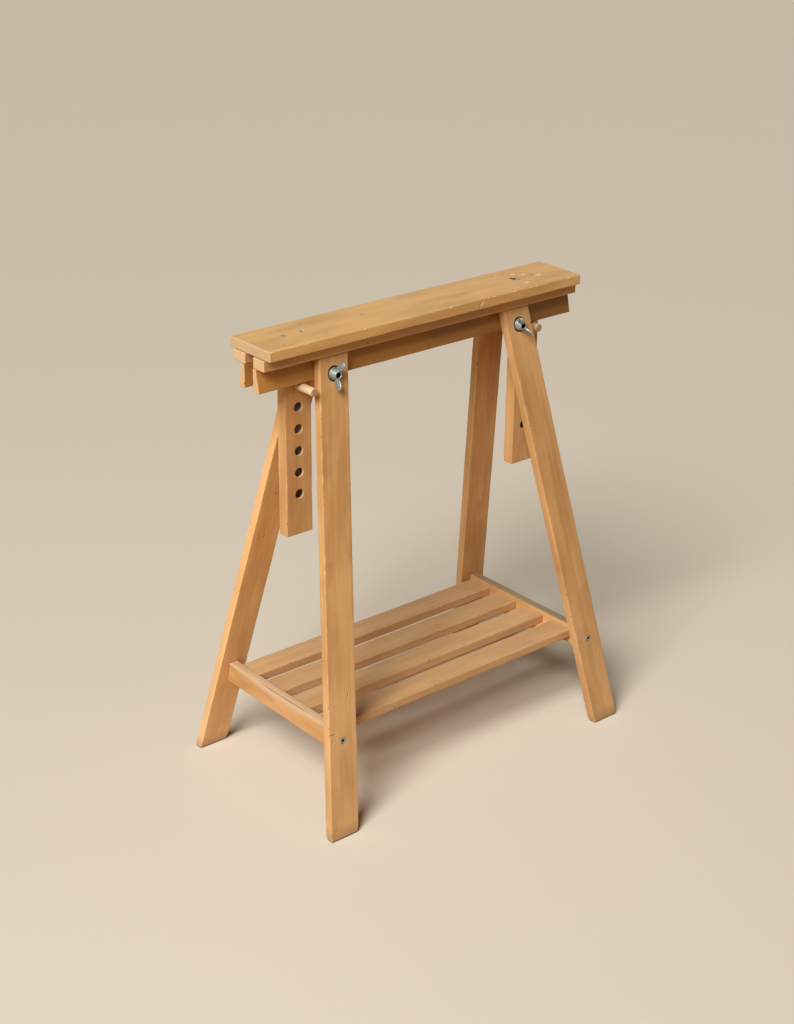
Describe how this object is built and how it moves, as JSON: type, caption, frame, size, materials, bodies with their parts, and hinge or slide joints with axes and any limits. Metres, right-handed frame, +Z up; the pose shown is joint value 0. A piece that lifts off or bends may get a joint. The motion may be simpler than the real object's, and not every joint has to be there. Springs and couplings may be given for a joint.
{
  "type": "work trestle",
  "caption": "Height-adjustable wooden work trestle: narrow top board on peg-hole posts, splayed bolted legs, dowel pins, wing nuts and a slatted lower shelf.",
  "frame": {"origin": "on the floor, under the middle of the top board", "axes": "+X along the board to the right, +Y to the rear (the wing nuts are on the -Y side), +Z up"},
  "size_m": [0.586, 0.3476, 0.7056],
  "materials": {
    "board_wood": "aged, sanded, light oil",
    "frame_wood": "aged, sanded, light oil",
    "slat_wood": "aged, worn bare",
    "pin_wood": "bare turned dowel",
    "zinc_steel": "zinc plated, dull"
  },
  "bodies": {
    "frame": {"rail_front": "frame_wood", "rail_rear": "frame_wood", "leg_front_left": "frame_wood", "leg_front_right": "frame_wood", "leg_rear_left": "frame_wood", "leg_rear_right": "frame_wood", "cross_bar_left": "frame_wood", "cross_bar_right": "frame_wood", "ledger_left": "frame_wood", "ledger_right": "frame_wood", "slat_1": "slat_wood", "slat_2": "slat_wood", "slat_3": "slat_wood", "slat_4": "slat_wood", "leg_screw_1": "zinc_steel", "leg_screw_2": "zinc_steel", "leg_screw_3": "zinc_steel", "leg_screw_4": "zinc_steel", "slat_screw_1": "zinc_steel", "slat_screw_2": "zinc_steel", "slat_screw_3": "zinc_steel", "slat_screw_4": "zinc_steel", "slat_screw_5": "zinc_steel", "slat_screw_6": "zinc_steel", "slat_screw_7": "zinc_steel", "slat_screw_8": "zinc_steel", "bolt_left": "zinc_steel", "bolt_right": "zinc_steel"},
    "top": {"top_board": "board_wood", "batten_front": "frame_wood", "batten_rear": "frame_wood", "post_left": "frame_wood", "post_right": "frame_wood", "board_screw_1": "zinc_steel", "board_screw_2": "zinc_steel", "board_screw_3": "zinc_steel", "board_screw_4": "zinc_steel"},
    "pin_left": {"pin_left": "pin_wood"},
    "pin_right": {"pin_right": "pin_wood"},
    "washer_left": {"washer_left": "zinc_steel"},
    "washer_right": {"washer_right": "zinc_steel"},
    "wing_nut_left": {"wing_nut_left": "zinc_steel"},
    "wing_nut_right": {"wing_nut_right": "zinc_steel"}
  },
  "joints": [
    {"name": "top_lift", "type": "slide", "parent": "frame", "child": "top", "axis": [0, 0, 1], "range_m": [0, 0.286]},
    {"name": "pin_left_pull", "type": "slide", "parent": "top", "child": "pin_left", "axis": [0, -1, 0], "range_m": [-0.012, 0.06]},
    {"name": "pin_right_pull", "type": "slide", "parent": "top", "child": "pin_right", "axis": [0, -1, 0], "range_m": [0, 0.072]},
    {"name": "washer_left_slide", "type": "slide", "parent": "frame", "child": "washer_left", "axis": [0, -1, 0], "range_m": [0, 0.0022]},
    {"name": "washer_right_slide", "type": "slide", "parent": "frame", "child": "washer_right", "axis": [0, -1, 0], "range_m": [0, 0.0022]},
    {"name": "wing_nut_left_turn", "type": "hinge", "parent": "washer_left", "child": "wing_nut_left", "pos_m": [-0.1744, -0.034, 0.648], "axis": [0, -1, 0], "range_deg": [0, 630]},
    {"name": "wing_nut_right_turn", "type": "hinge", "parent": "washer_right", "child": "wing_nut_right", "pos_m": [0.1744, -0.034, 0.648], "axis": [0, -1, 0], "range_deg": [0, 630]}
  ],
  "couplings": [
    {"joint": "washer_left_slide", "follows": "wing_nut_left_turn", "m_per_rad": 0.00019894},
    {"joint": "washer_right_slide", "follows": "wing_nut_right_turn", "m_per_rad": 0.00019894}
  ]
}
